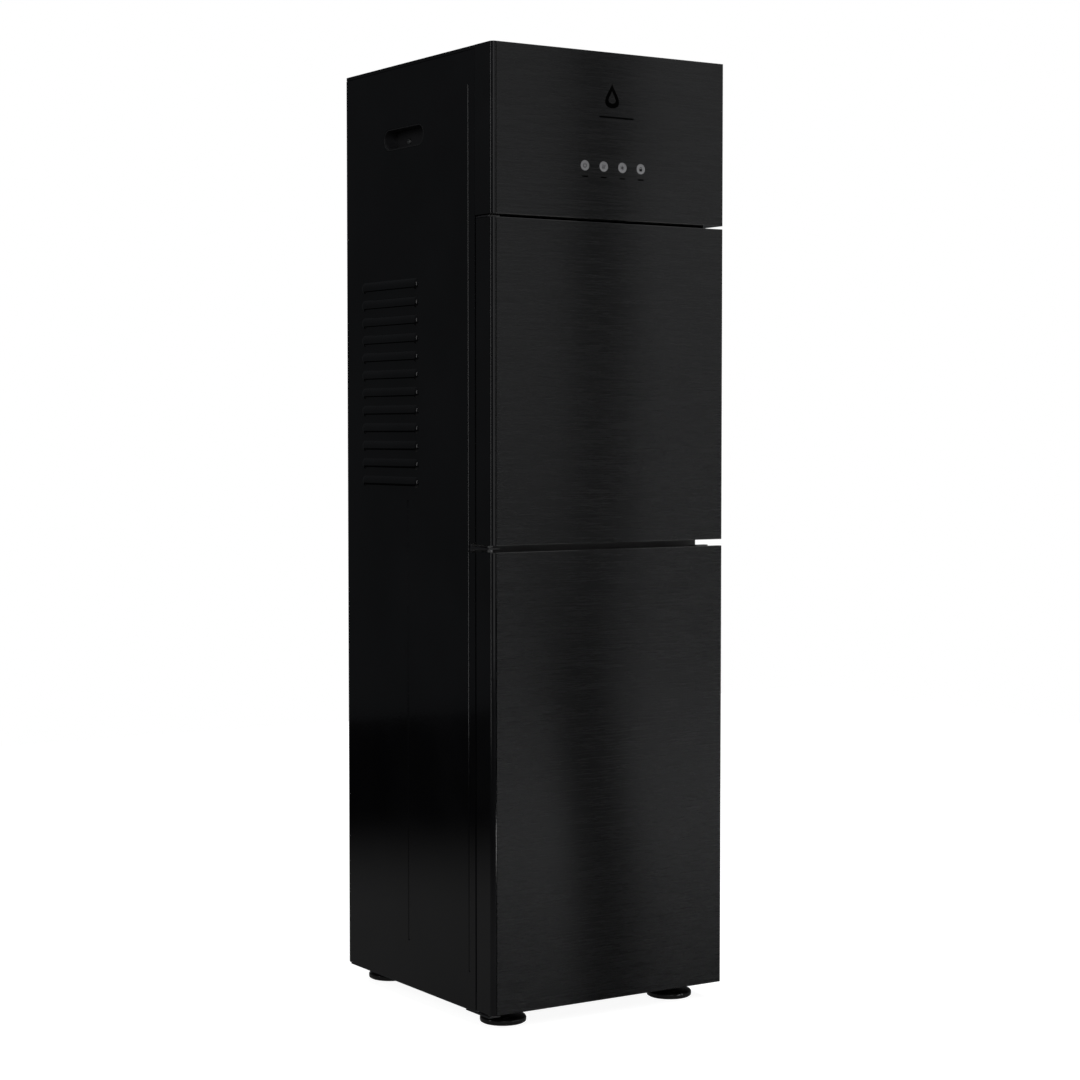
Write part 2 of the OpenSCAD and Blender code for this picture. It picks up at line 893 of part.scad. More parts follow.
module foot_front_left() {
    foot(-foot_x, foot_front_y);
}

module foot_front_right() {
    foot(foot_x, foot_front_y);
}

module foot_rear_left() {
    foot(-foot_x, foot_rear_y);
}

module foot_rear_right() {
    foot(foot_x, foot_rear_y);
}

module foot_nuts() {
    color("#a8abae")
        for (side = [-1, 1], y = [foot_front_y, foot_rear_y])
            difference() {
                translate([side * foot_x, y, foot_h + 1.7])
                    cylinder(r = 9.5, h = 7.6, $fn = 6);
                bar_z(stem_r + 0.35, side * foot_x, y, [foot_h, foot_h + 12]);
            }
}

module rear_screw(x, y, z) {
    bar_y(3.5, x, [y, y + 1.5], z);
    bar_y(1.5, x, [y - 5, y], z);
}

module cabinet_screws() {
    color("#9a9da0") {
        for (side = [-1, 1]) {
            for (z = rear_screw_z())
                rear_screw(side * (half_w - 6.5), cab_rear, z);
            for (i = [0 : 3])
                rear_screw(side * 144, upper_back_y + 0.8, 640 + i * 130);
            translate([side * (half_w - grip_depth), grip_y + 14, grip_z - 2])
                rotate([0, side * 90, 0])
                    cylinder(r = 3.4, h = 1.6);
        }
    }
}

module probe_holder() {
    z = [probe_shelf_z, probe_shelf_z + 3];
    color("#2c2e30")
        difference() {
            union() {
                slab([98, panel_in - 0.3], [102, 158], z);
                slab([panel_in - 3.3, panel_in - 0.3], [102, 158], [z[0], z[1] + 22]);
            }
            bar_z(7.5, probe_x, probe_y, [z[0] - 1, z[1] + 1]);
            slab([probe_x - 7.5, probe_x + 7.5], [100, probe_y], [z[0] - 1, z[1] + 1]);
        }
}

module probe_cap() {
    z = probe_shelf_z + 3.2;
    color("#1f3f7a")
        difference() {
            union() {
                bar_z(26, probe_x, probe_y, [z, z + 26]);
                bar_z(14, probe_x, probe_y, [z + 26, z + 38]);
            }
            bar_z(23.5, probe_x, probe_y, [z - 1, z + 22]);
            bar_z(6.05, probe_x, probe_y, [z, z + 34]);
        }
}

module probe_tube() {
    z = [46, probe_shelf_z + 37];
    color("#c4c8cb")
        difference() {
            union() {
                bar_z(6, probe_x, probe_y, z);
                bar_z(6.8, probe_x, probe_y, [z[0], z[0] + 16]);
            }
            bar_z(4.6, probe_x, probe_y, [z[0] - 1, z[1] + 1]);
        }
}

module probe_hose() {
    color("#d9dde0")
        bar_z(6, probe_x, probe_y, [probe_shelf_z + 41.3, high_deck_z]);
}

side_panel_left();
side_panel_right();
side_grips();
back_panel_lower();
back_panel_upper();
top_cover();
base_pan();
front_frame();
mid_deck();
upper_deck();
bottle_tray();
fascia_body();
fascia_skin();
control_board();
hinge_brackets();
hinge_pins();
bay_liner();
taps();
water_tubes();
pump();
compressor();
compressor_mounts();
condenser();
filter_drier();
cold_tank();
evaporator_coil();
tank_insulation();
hot_tank();
power_board();
switch_housing();
cable_gland();
drain_plug();
foot_nuts();
cabinet_screws();
probe_holder();
door_magnets();
middle_door_body();
middle_door_skin();
middle_door_gasket();
lower_door_body();
lower_door_skin();
lower_door_gasket();
button_power();
button_hot();
button_cold();
button_lock();
tap_lever_hot();
tap_lever_ambient();
tap_lever_cold();
drip_tray();
drip_grille();
rocker_hot();
rocker_cold();
foot_front_left();
foot_front_right();
foot_rear_left();
foot_rear_right();
probe_cap();
probe_tube();
probe_hose();
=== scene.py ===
"""Visual model of a bottom-loading water dispenser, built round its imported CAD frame."""
import json
import math

import bmesh
import bpy
from mathutils import Matrix, Vector


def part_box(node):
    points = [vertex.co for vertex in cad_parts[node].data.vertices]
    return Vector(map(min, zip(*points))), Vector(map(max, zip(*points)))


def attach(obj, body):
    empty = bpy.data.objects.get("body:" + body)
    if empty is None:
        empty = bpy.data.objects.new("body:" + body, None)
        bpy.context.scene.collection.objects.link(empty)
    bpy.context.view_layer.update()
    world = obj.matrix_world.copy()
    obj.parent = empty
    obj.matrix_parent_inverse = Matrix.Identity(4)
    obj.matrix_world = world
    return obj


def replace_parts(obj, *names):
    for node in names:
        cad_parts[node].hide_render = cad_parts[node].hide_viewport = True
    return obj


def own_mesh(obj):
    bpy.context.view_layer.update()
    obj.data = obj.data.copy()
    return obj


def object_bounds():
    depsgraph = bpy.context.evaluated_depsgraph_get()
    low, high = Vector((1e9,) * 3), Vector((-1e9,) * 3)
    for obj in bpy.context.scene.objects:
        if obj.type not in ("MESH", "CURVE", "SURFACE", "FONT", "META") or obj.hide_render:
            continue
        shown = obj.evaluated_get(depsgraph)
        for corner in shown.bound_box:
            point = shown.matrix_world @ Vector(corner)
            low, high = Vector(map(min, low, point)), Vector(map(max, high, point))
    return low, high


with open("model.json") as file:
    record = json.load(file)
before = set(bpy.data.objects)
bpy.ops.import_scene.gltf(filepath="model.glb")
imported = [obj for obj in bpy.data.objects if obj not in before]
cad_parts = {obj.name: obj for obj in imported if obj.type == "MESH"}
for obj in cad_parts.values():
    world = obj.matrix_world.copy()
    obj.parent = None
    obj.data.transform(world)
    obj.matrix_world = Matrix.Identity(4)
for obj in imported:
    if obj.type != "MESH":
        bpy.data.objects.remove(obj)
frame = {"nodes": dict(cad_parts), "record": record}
cad_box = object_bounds()

MM = 0.001
NODES = frame["nodes"]
BODY_OF = {}
for body_name, members in frame["record"]["behaviour"]["bodies"].items():
    for member in members:
        BODY_OF[member] = body_name
LOW = Vector(cad_box[0])
HIGH = Vector(cad_box[1])
MIDDLE = (LOW + HIGH) / 2

# ---------------------------------------------------------------- camera, lights and stage

CAMERA_AZIMUTH = math.radians(-32.84)
CAMERA_ELEVATION = math.radians(2.62)
CAMERA_DISTANCE = 2.809
CAMERA_LENS = 79.6
AIM = MIDDLE + Vector((0.0125, 0.0, -0.0085))

# Strip lights by the right front, upright in one plane: each one's place on X, width and share of the glow
STRIP_PLANE_Y = -1.0
STRIPS = (("near", 0.33, 0.31, 0.95), ("gap", 0.572, 0.17, 0.1), ("far", 0.84, 0.36, 1.12))
# Each strip is in two parts: a shift on X, the height of its middle, its own height and its glow
STRIP_PARTS = (("foot", -0.015, 0.045, 0.07, 9.6), ("main", 0.0, 1.25, 1.7, 1.02))
ROOM_STRENGTH = 0.033
FLOOR_HALF = 2.4
FLOOR_WHITE = 0.3
FLOOR_GLOW = 3.1
FLOOR_IN_GLOSS = 0.024


def aim_at(obj, target):
    """Turns a camera or light so that it looks at target."""
    obj.rotation_euler = (Vector(target) - obj.location).to_track_quat("-Z", "Y").to_euler()


def make_camera():
    back = Vector((
        math.sin(CAMERA_AZIMUTH) * math.cos(CAMERA_ELEVATION),
        -math.cos(CAMERA_AZIMUTH) * math.cos(CAMERA_ELEVATION),
        math.sin(CAMERA_ELEVATION),
    ))
    data = bpy.data.cameras.new("camera")
    data.lens = CAMERA_LENS
    data.sensor_width = 36.0
    camera = bpy.data.objects.new("camera", data)
    bpy.context.scene.collection.objects.link(camera)
    camera.location = AIM + back * CAMERA_DISTANCE
    aim_at(camera, AIM)
    bpy.context.scene.camera = camera


def softbox(name, centre, target, size, power, mirrored=True):
    """A rectangular area light that the camera doesn't see; gloss mirrors it only if mirrored."""
    data = bpy.data.lights.new(name, "AREA")
    data.shape = "RECTANGLE"
    data.size = size[0]
    data.size_y = size[1]
    data.energy = power
    light = bpy.data.objects.new(name, data)
    bpy.context.scene.collection.objects.link(light)
    light.location = centre
    aim_at(light, target)
    light.visible_camera = False
    light.visible_glossy = mirrored


def make_lights():
    """The strips draw the soft upright bands on the brushed skins; the large boxes only light the shapes."""
    for name, x, width, share in STRIPS:
        for part, shift, z, height, glow in STRIP_PARTS:
            power = share * glow * math.pi * width * height
            centre = (x + shift, STRIP_PLANE_Y, z)
            softbox("strip_%s_%s" % (name, part), centre, (0.0, LOW.y, z), (width, height), power)
    softbox("side_strip", (-2.6, 0.35, 0.9), (LOW.x, 0.0, 0.9), (0.25, 1.8), 3.4)
    softbox("front_fill", (-1.25, -2.6, 1.0), MIDDLE, (1.8, 1.8), 5)
    softbox("overhead", (0.2, -0.6, 3.0), MIDDLE, (2.4, 2.4), 90, mirrored=False)
    softbox("front_left", (-2.6, -2.2, 1.9), MIDDLE, (1.0, 1.4), 40, mirrored=False)
    softbox("rear", (0.8, 2.8, 2.0), MIDDLE, (1.6, 1.6), 45, mirrored=False)


def make_world():
    """White to the camera, a dim grey room to everything else."""
    world = bpy.data.worlds.new("studio")
    bpy.context.scene.world = world
    world.use_nodes = True
    tree = world.node_tree
    tree.nodes.clear()
    path = tree.nodes.new("ShaderNodeLightPath")
    room = tree.nodes.new("ShaderNodeBackground")
    room.inputs["Color"].default_value = (0.9, 0.95, 1.0, 1.0)
    room.inputs["Strength"].default_value = ROOM_STRENGTH
    backdrop = tree.nodes.new("ShaderNodeBackground")
    backdrop.inputs["Color"].default_value = (1.0, 1.0, 1.0, 1.0)
    backdrop.inputs["Strength"].default_value = 1.0
    mix = tree.nodes.new("ShaderNodeMixShader")
    out = tree.nodes.new("ShaderNodeOutputWorld")
    tree.links.new(path.outputs["Is Camera Ray"], mix.inputs[0])
    tree.links.new(room.outputs[0], mix.inputs[1])
    tree.links.new(backdrop.outputs[0], mix.inputs[2])
    tree.links.new(mix.outputs[0], out.inputs["Surface"])


def make_floor():
    """A plain white floor; what the gloss black reflects of it is dim and fades away from the object."""
    mat = bpy.data.materials.new("stage_floor")
    mat.use_nodes = True
    tree = mat.node_tree
    shader = tree.nodes["Principled BSDF"]
    shader.inputs["Roughness"].default_value = 0.9
    shader.inputs["Specular IOR Level"].default_value = 0.0
    place_node = tree.nodes.new("ShaderNodeTexCoord")
    distance = tree.nodes.new("ShaderNodeVectorMath")
    distance.operation = "LENGTH"
    tree.links.new(place_node.outputs["Object"], distance.inputs[0])
    fade = tree.nodes.new("ShaderNodeMapRange")
    fade.interpolation_type = "SMOOTHSTEP"
    fade.inputs["From Min"].default_value = 0.6
    fade.inputs["From Max"].default_value = 1.5
    fade.inputs["To Min"].default_value = FLOOR_IN_GLOSS
    fade.inputs["To Max"].default_value = 0.0
    tree.links.new(distance.outputs["Value"], fade.inputs["Value"])
    path = tree.nodes.new("ShaderNodeLightPath")
    mix = tree.nodes.new("ShaderNodeMix")
    mix.data_type = "RGBA"
    mix.inputs[7].default_value = (FLOOR_WHITE, FLOOR_WHITE, FLOOR_WHITE, 1.0)
    tree.links.new(path.outputs["Is Camera Ray"], mix.inputs[0])
    tree.links.new(fade.outputs["Result"], mix.inputs[6])
    tree.links.new(mix.outputs[2], shader.inputs["Base Color"])
    tree.links.new(mix.outputs[2], shader.inputs["Emission Color"])
    shader.inputs["Emission Strength"].default_value = FLOOR_GLOW
    mesh = bpy.data.meshes.new("stage_floor")
    corners = [(x * FLOOR_HALF, y * FLOOR_HALF, 0) for x, y in ((-1, -1), (1, -1), (1, 1), (-1, 1))]
    mesh.from_pydata(corners, [], [(0, 1, 2, 3)])
    mesh.materials.append(mat)
    floor = bpy.data.objects.new("stage_floor", mesh)
    bpy.context.scene.collection.objects.link(floor)


# ---------------------------------------------------------------- material tools


def new_material(name):
    mat = bpy.data.materials.new(name)
    mat.use_nodes = True
    return mat, mat.node_tree, mat.node_tree.nodes["Principled BSDF"]


def noise(tree, scale, stretch=(1, 1, 1), detail=3.0, roughness=0.5, distortion=0.0):
    """Noise in metres of the part's own frame, stretched along its axes."""
    place = tree.nodes.new("ShaderNodeTexCoord")
    mapping = tree.nodes.new("ShaderNodeMapping")
    mapping.inputs["Scale"].default_value = stretch
    texture = tree.nodes.new("ShaderNodeTexNoise")
    texture.inputs["Scale"].default_value = scale
    texture.inputs["Detail"].default_value = detail
    texture.inputs["Roughness"].default_value = roughness
    texture.inputs["Distortion"].default_value = distortion
    tree.links.new(place.outputs["Object"], mapping.inputs["Vector"])
    tree.links.new(mapping.outputs["Vector"], texture.inputs["Vector"])
    return texture.outputs["Fac"]


def cells(tree, scale, feature="F1", output="Distance"):
    """Voronoi cells in metres of the part's own frame."""
    place = tree.nodes.new("ShaderNodeTexCoord")
    texture = tree.nodes.new("ShaderNodeTexVoronoi")
    texture.feature = feature
    texture.inputs["Scale"].default_value = scale
    tree.links.new(place.outputs["Object"], texture.inputs["Vector"])
    return texture.outputs[output]


def blend_colours(tree, factor, dark, light, spread=(0.3, 0.7)):
    ramp = tree.nodes.new("ShaderNodeValToRGB")
    ramp.color_ramp.elements[0].position = spread[0]
    ramp.color_ramp.elements[0].color = (*dark, 1.0)
    ramp.color_ramp.elements[1].position = spread[1]
    ramp.color_ramp.elements[1].color = (*light, 1.0)
    tree.links.new(factor, ramp.inputs["Fac"])
    return ramp.outputs["Color"]


def rescale(tree, factor, low, high, spread=(0.3, 0.7)):
    node = tree.nodes.new("ShaderNodeMapRange")
    node.inputs["From Min"].default_value = spread[0]
    node.inputs["From Max"].default_value = spread[1]
    node.inputs["To Min"].default_value = low
    node.inputs["To Max"].default_value = high
    tree.links.new(factor, node.inputs["Value"])
    return node.outputs["Result"]


def add_bump(tree, shader, *layers):
    """Each layer is (height, strength, distance in metres), laid one on the next."""
    previous = None
    for height, strength, distance in layers:
        node = tree.nodes.new("ShaderNodeBump")
        node.inputs["Strength"].default_value = strength
        node.inputs["Distance"].default_value = distance
        tree.links.new(height, node.inputs["Height"])
        if previous is not None:
            tree.links.new(previous, node.inputs["Normal"])
        previous = node.outputs["Normal"]
    tree.links.new(previous, shader.inputs["Normal"])


def shaded(colour, factor):
    return tuple(min(1.0, channel * factor) for channel in colour)


# ---------------------------------------------------------------- finishes


def gloss_enamel(name, colour):
    """Baked enamel: a near mirror with slight orange peel and a trace of dust haze."""
    mat, tree, shader = new_material(name)
    haze = noise(tree, 9.0, detail=4.0)
    peel = noise(tree, 260.0, detail=2.0)
    fine = noise(tree, 1500.0, detail=2.0)
    tones = blend_colours(tree, haze, shaded(colour, 0.8), shaded(colour, 1.3))
    tree.links.new(tones, shader.inputs["Base Color"])
    tree.links.new(rescale(tree, haze, 0.07, 0.13), shader.inputs["Roughness"])
    shader.inputs["IOR"].default_value = 1.45
    shader.inputs["Coat Weight"].default_value = 0.25
    shader.inputs["Coat Roughness"].default_value = 0.05
    add_bump(tree, shader, (peel, 0.05, 0.0004), (fine, 0.04, 0.00005))
    return mat


def brushed_metal(name, colour, streak, roughness, lift=1.2, anisotropy=0.9, rotation=0.25):
    """Brushed metal whose scratches run along the axis that streak stretches."""
    mat, tree, shader = new_material(name)
    shader.inputs["Metallic"].default_value = 1.0
    shader.inputs["Anisotropic"].default_value = anisotropy
    shader.inputs["Anisotropic Rotation"].default_value = rotation
    broad = noise(tree, 520.0, stretch=streak, detail=3.0, roughness=0.6)
    hair = noise(tree, 1800.0, stretch=streak, detail=2.0, roughness=0.6)
    cloud = noise(tree, 5.0, detail=3.0)
    mix = tree.nodes.new("ShaderNodeMath")
    mix.operation = "MULTIPLY_ADD"
    mix.inputs[1].default_value = 0.5
    tree.links.new(broad, mix.inputs[0])
    half = tree.nodes.new("ShaderNodeMath")
    half.operation = "MULTIPLY"
    half.inputs[1].default_value = 0.5
    tree.links.new(hair, half.inputs[0])
    tree.links.new(half.outputs[0], mix.inputs[2])
    streaks = mix.outputs[0]
    tones = blend_colours(tree, streaks, shaded(colour, 1 / lift), shaded(colour, lift), (0.36, 0.64))
    tree.links.new(tones, shader.inputs["Base Color"])
    uneven = tree.nodes.new("ShaderNodeMath")
    uneven.operation = "ADD"
    tree.links.new(rescale(tree, streaks, roughness * 0.85, roughness * 1.15), uneven.inputs[0])
    tree.links.new(rescale(tree, cloud, -0.015, 0.015), uneven.inputs[1])
    tree.links.new(uneven.outputs[0], shader.inputs["Roughness"])
    add_bump(tree, shader, (broad, 0.04, 0.00006), (hair, 0.06, 0.00003))
    return mat


def moulded(name, colour, roughness, grain=900.0, depth=0.12, coat=0.0):
    """Moulded plastic with an eroded grain and slight flow marks."""
    mat, tree, shader = new_material(name)
    flow = noise(tree, 14.0, stretch=(1, 1, 0.5), detail=3.0)
    texture = noise(tree, grain, detail=3.0, roughness=0.6)
    tones = blend_colours(tree, flow, shaded(colour, 0.88), shaded(colour, 1.12))
    tree.links.new(tones, shader.inputs["Base Color"])
    tree.links.new(rescale(tree, texture, roughness * 0.85, roughness * 1.2), shader.inputs["Roughness"])
    shader.inputs["Coat Weight"].default_value = coat
    shader.inputs["Coat Roughness"].default_value = 0.08
    add_bump(tree, shader, (texture, depth, 0.00012))
    return mat


def powder_coat(name, colour):
    mat, tree, shader = new_material(name)
    skin = noise(tree, 420.0, detail=2.0)
    speck = noise(tree, 2400.0, detail=1.0)
    tones = blend_colours(tree, speck, shaded(colour, 0.85), shaded(colour, 1.25))
    tree.links.new(tones, shader.inputs["Base Color"])
    tree.links.new(rescale(tree, skin, 0.32, 0.46), shader.inputs["Roughness"])
    add_bump(tree, shader, (skin, 0.25, 0.0002), (speck, 0.1, 0.00005))
    return mat


def zinc_coat(name, colour, scale, roughness):
    """Zinc plate: crystals of slightly different tone."""
    mat, tree, shader = new_material(name)
    shader.inputs["Metallic"].default_value = 1.0
    crystal = cells(tree, scale, output="Color")
    tone = tree.nodes.new("ShaderNodeRGBToBW")
    tree.links.new(crystal, tone.inputs[0])
    dull = noise(tree, 40.0, detail=4.0)
    tones = blend_colours(tree, tone.outputs[0], shaded(colour, 0.85), shaded(colour, 1.12), (0.1, 0.9))
    tree.links.new(tones, shader.inputs["Base Color"])
    tree.links.new(rescale(tree, dull, roughness * 0.8, roughness * 1.25), shader.inputs["Roughness"])
    add_bump(tree, shader, (dull, 0.08, 0.0002))
    return mat


def rubber(name, colour):
    mat, tree, shader = new_material(name)
    bloom = noise(tree, 60.0, detail=4.0)
    pores = noise(tree, 2200.0, detail=2.0)
    tones = blend_colours(tree, bloom, shaded(colour, 0.8), shaded(colour, 1.5))
    tree.links.new(tones, shader.inputs["Base Color"])
    tree.links.new(rescale(tree, pores, 0.5, 0.7), shader.inputs["Roughness"])
    shader.inputs["Specular IOR Level"].default_value = 0.35
    add_bump(tree, shader, (pores, 0.2, 0.0001))
    return mat


def plated(name, colour, roughness):
    """Bright plating with a faint ripple."""
    mat, tree, shader = new_material(name)
    shader.inputs["Metallic"].default_value = 1.0
    ripple = noise(tree, 120.0, detail=2.0)
    stain = noise(tree, 30.0, detail=5.0)
    tree.links.new(blend_colours(tree, stain, shaded(colour, 0.92), colour), shader.inputs["Base Color"])
    tree.links.new(rescale(tree, stain, roughness, roughness * 2.2), shader.inputs["Roughness"])
    add_bump(tree, shader, (ripple, 0.03, 0.0003))
    return mat


def copper_tube(name, colour):
    """Drawn copper with darker heat tint in patches."""
    mat, tree, shader = new_material(name)
    shader.inputs["Metallic"].default_value = 1.0
    tint = noise(tree, 35.0, detail=5.0)
    drawn = noise(tree, 700.0, stretch=(1, 1, 0.2), detail=2.0)
    tree.links.new(blend_colours(tree, tint, shaded(colour, 0.55), colour), shader.inputs["Base Color"])
    tree.links.new(rescale(tree, drawn, 0.22, 0.4), shader.inputs["Roughness"])
    add_bump(tree, shader, (drawn, 0.1, 0.0001))
    return mat


def silicone(name, colour):
    mat, tree, shader = new_material(name)
    cloud = noise(tree, 25.0, detail=3.0)
    skin = noise(tree, 900.0, detail=2.0)
    tree.links.new(blend_colours(tree, cloud, shaded(colour, 0.9), colour), shader.inputs["Base Color"])
    tree.links.new(rescale(tree, skin, 0.3, 0.42), shader.inputs["Roughness"])
    shader.inputs["Subsurface Weight"].default_value = 0.3
    shader.inputs["Subsurface Scale"].default_value = 0.002
    add_bump(tree, shader, (skin, 0.08, 0.0001))
    return mat


def bead_foam(name, colour):
    mat, tree, shader = new_material(name)
    bead = cells(tree, 320.0)
    tones = blend_colours(tree, bead, colour, shaded(colour, 0.8), (0.1, 0.8))
    tree.links.new(tones, shader.inputs["Base Color"])
    tree.links.new(rescale(tree, bead, 0.7, 0.95, (0.0, 0.8)), shader.inputs["Roughness"])
    add_bump(tree, shader, (bead, 0.5, 0.0008))
    return mat


def circuit_board(name, colour):
    """Solder mask over copper tracks."""
    mat, tree, shader = new_material(name)
    track = cells(tree, 260.0, feature="DISTANCE_TO_EDGE")
    mask = noise(tree, 80.0, detail=3.0)
    tones = blend_colours(tree, track, shaded(colour, 1.9), colour, (0.03, 0.07))
    tree.links.new(tones, shader.inputs["Base Color"])
    tree.links.new(rescale(tree, mask, 0.22, 0.36), shader.inputs["Roughness"])
    add_bump(tree, shader, (track, 0.15, 0.0001))
    return mat


def matt_print(name, colour):
    """Screen-printed ink: flat, with a trace of mottle."""
    mat, tree, shader = new_material(name)
    mottle = noise(tree, 700.0, detail=2.0)
    tones = blend_colours(tree, mottle, shaded(colour, 0.7), shaded(colour, 1.3))
    tree.links.new(tones, shader.inputs["Base Color"])
    tree.links.new(rescale(tree, mottle, 0.55, 0.7), shader.inputs["Roughness"])
    shader.inputs["Specular IOR Level"].default_value = 0.0
    add_bump(tree, shader, (mottle, 0.1, 0.00003))
    return mat


def magnet_plate(name, colour):
    mat, tree, shader = new_material(name)
    shader.inputs["Metallic"].default_value = 1.0
    scuff = noise(tree, 180.0, detail=5.0)
    tones = blend_colours(tree, scuff, shaded(colour, 0.7), shaded(colour, 1.3))
    tree.links.new(tones, shader.inputs["Base Color"])
    tree.links.new(rescale(tree, scuff, 0.25, 0.5), shader.inputs["Roughness"])
    add_bump(tree, shader, (scuff, 0.1, 0.0001))
    return mat


ALONG_X = (0.035, 1.0, 1.0)
ALONG_Z = (1.0, 1.0, 0.04)
FINISH = {
    "gloss_black_panel": gloss_enamel("gloss_black_panel", (0.004, 0.004, 0.0045)),
    "gloss_black_plastic": gloss_enamel("gloss_black_plastic", (0.005, 0.005, 0.0055)),
    "brushed_black_steel": brushed_metal(
        "brushed_black_steel", (0.020, 0.0202, 0.0206), ALONG_X, 0.27, anisotropy=1.0),
    "satin_black_plastic": moulded("satin_black_plastic", (0.012, 0.012, 0.013), 0.45),
    "dark_sheet": powder_coat("dark_sheet", (0.018, 0.018, 0.02)),
    "zinc_sheet": zinc_coat("zinc_sheet", (0.5, 0.51, 0.52), 90.0, 0.35),
    "zinc_fastener": zinc_coat("zinc_fastener", (0.34, 0.34, 0.34), 900.0, 0.45),
    "liner_plastic": moulded("liner_plastic", (0.02, 0.021, 0.023), 0.22, grain=500.0, depth=0.05, coat=0.2),
    "tray_plastic": moulded("tray_plastic", (0.06, 0.062, 0.065), 0.5),
    "button_plastic": moulded("button_plastic", (0.14, 0.14, 0.145), 0.3, grain=1200.0, depth=0.05),
    "black_rubber": rubber("black_rubber", (0.012, 0.012, 0.012)),
    "foot_plastic": moulded("foot_plastic", (0.008, 0.008, 0.008), 0.14, grain=400.0, depth=0.03, coat=0.5),
    "stainless": brushed_metal("stainless", (0.6, 0.6, 0.61), ALONG_Z, 0.25, lift=1.12, anisotropy=0.5),
    "tap_chrome": plated("tap_chrome", (0.72, 0.72, 0.73), 0.05),
    "copper": copper_tube("copper", (0.72, 0.36, 0.2)),
    "silicone": silicone("silicone", (0.75, 0.76, 0.76)),
    "foam": bead_foam("foam", (0.82, 0.81, 0.77)),
    "board_green": circuit_board("board_green", (0.01, 0.08, 0.025)),
    "magnet": magnet_plate("magnet", (0.3, 0.3, 0.31)),
    "red_plastic": moulded("red_plastic", (0.42, 0.02, 0.012), 0.28, coat=0.2),
    "blue_plastic": moulded("blue_plastic", (0.015, 0.07, 0.3), 0.28, coat=0.2),
    "white_plastic": moulded("white_plastic", (0.7, 0.7, 0.68), 0.3, coat=0.2),
    "green_plastic": moulded("green_plastic", (0.015, 0.16, 0.045), 0.3, coat=0.2),
}
INK = matt_print("dark_ink", (0.001, 0.001, 0.001))
SLOT_OF = {row["node"]: row["material_slot"] for row in frame["record"]["subparts"]}


def finish_cad_nodes():
    for name, obj in NODES.items():
        obj.data.materials.clear()
        obj.data.materials.append(FINISH[SLOT_OF[name]])


# ---------------------------------------------------------------- mesh tools


def place(name, mesh_data, node, slots=None):
    """Adds a piece that rides on node's body, with node's finish or the finishes in slots."""
    piece = bpy.data.objects.new(name, mesh_data)
    bpy.context.scene.collection.objects.link(piece)
    for slot_name in slots or [SLOT_OF[node]]:
        mesh_data.materials.append(FINISH[slot_name])
    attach(piece, BODY_OF[node])
    return piece


def to_mesh(bm, name, smooth_angle=30):
    mesh_data = bpy.data.meshes.new(name)
    bmesh.ops.recalc_face_normals(bm, faces=bm.faces)
    bm.to_mesh(mesh_data)
    bm.free()
    mesh_data.shade_smooth()
    mesh_data.set_sharp_from_angle(angle=math.radians(smooth_angle))
    return mesh_data


def even_normals(piece):
    """Keeps wide flat faces flat beside their rounded edges."""
    modifier = piece.modifiers.new("even_normals", "WEIGHTED_NORMAL")
    modifier.keep_sharp = True
    modifier.weight = 80


def cad_copy(node):
    """node's own mesh as an editable one, with flat areas joined into single faces."""
    bm = bmesh.new()
    bm.from_mesh(NODES[node].data)
    bmesh.ops.remove_doubles(bm, verts=bm.verts, dist=0.002 * MM)
    bmesh.ops.dissolve_limit(bm, angle_limit=math.radians(0.4), verts=bm.verts, edges=bm.edges)
    return bm


def round_edges(bm, width, angle=32):
    """Rounds every edge that turns by more than angle degrees."""
    sharp = [e for e in bm.edges if len(e.link_faces) == 2 and e.calc_face_angle() > math.radians(angle)]
    bmesh.ops.bevel(bm, geom=sharp, offset=width, offset_type="OFFSET", segments=2,
                    profile=0.5, affect="EDGES", clamp_overlap=True)


def rounded_piece(node, width_mm):
    """Replaces a CAD node by the same shape with its sharp edges rounded off."""
    bm = cad_copy(node)
    round_edges(bm, width_mm * MM)
    piece = place(node + "_rounded", to_mesh(bm, node), node)
    even_normals(piece)
    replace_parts(piece, node)


def islands(bm):
    """The separate solids of a mesh, each as (lowest corner, highest corner)."""
    left = set(bm.verts)
    found = []
    while left:
        stack = [left.pop()]
        points = []
        while stack:
            vert = stack.pop()
            points.append(vert.co)
            for edge in vert.link_edges:
                other = edge.other_vert(vert)
                if other in left:
                    left.remove(other)
                    stack.append(other)
        low = Vector([min(p[axis] for p in points) for axis in range(3)])
        high = Vector([max(p[axis] for p in points) for axis in range(3)])
        found.append((low, high))
    return sorted(found, key=lambda corners: tuple(corners[0]))


def join_loops(bm, loops, ends="capped", material=0):
    """Joins each loop of points to the next with quads; ends are capped, open or joined to each other."""
    rows = [[bm.verts.new(point) for point in loop] for loop in loops]
    if ends == "joined":
        rows.append(rows[0])
    made = []
    for near, far in zip(rows, rows[1:]):
        for i in range(len(near)):
            j = (i + 1) % len(near)
            made.append(bm.faces.new((near[i], near[j], far[j], far[i])))
    if ends == "capped":
        made.append(bm.faces.new(rows[0]))
        made.append(bm.faces.new(rows[-1]))
    for face in made:
        face.material_index = material


def lathe(bm, profile, frame_matrix, segments=64, flutes=0, flute_depth=0.0, fluted=(0.0, 0.0)):
    """Spins (radius, height) pairs in mm round the frame's Z; heights inside fluted get that many flutes."""
    loops = []
    for radius, height in profile:
        depth = flute_depth if fluted[0] <= height <= fluted[1] else 0.0
        loop = []
        for i in range(segments):
            turn = 2 * math.pi * i / segments
            r = max(radius - depth * (1 - math.cos(flutes * turn)) / 2, 0.001)
            loop.append(frame_matrix @ (Vector((r * math.cos(turn), r * math.sin(turn), height)) * MM))
        loops.append(loop)
    join_loops(bm, loops)


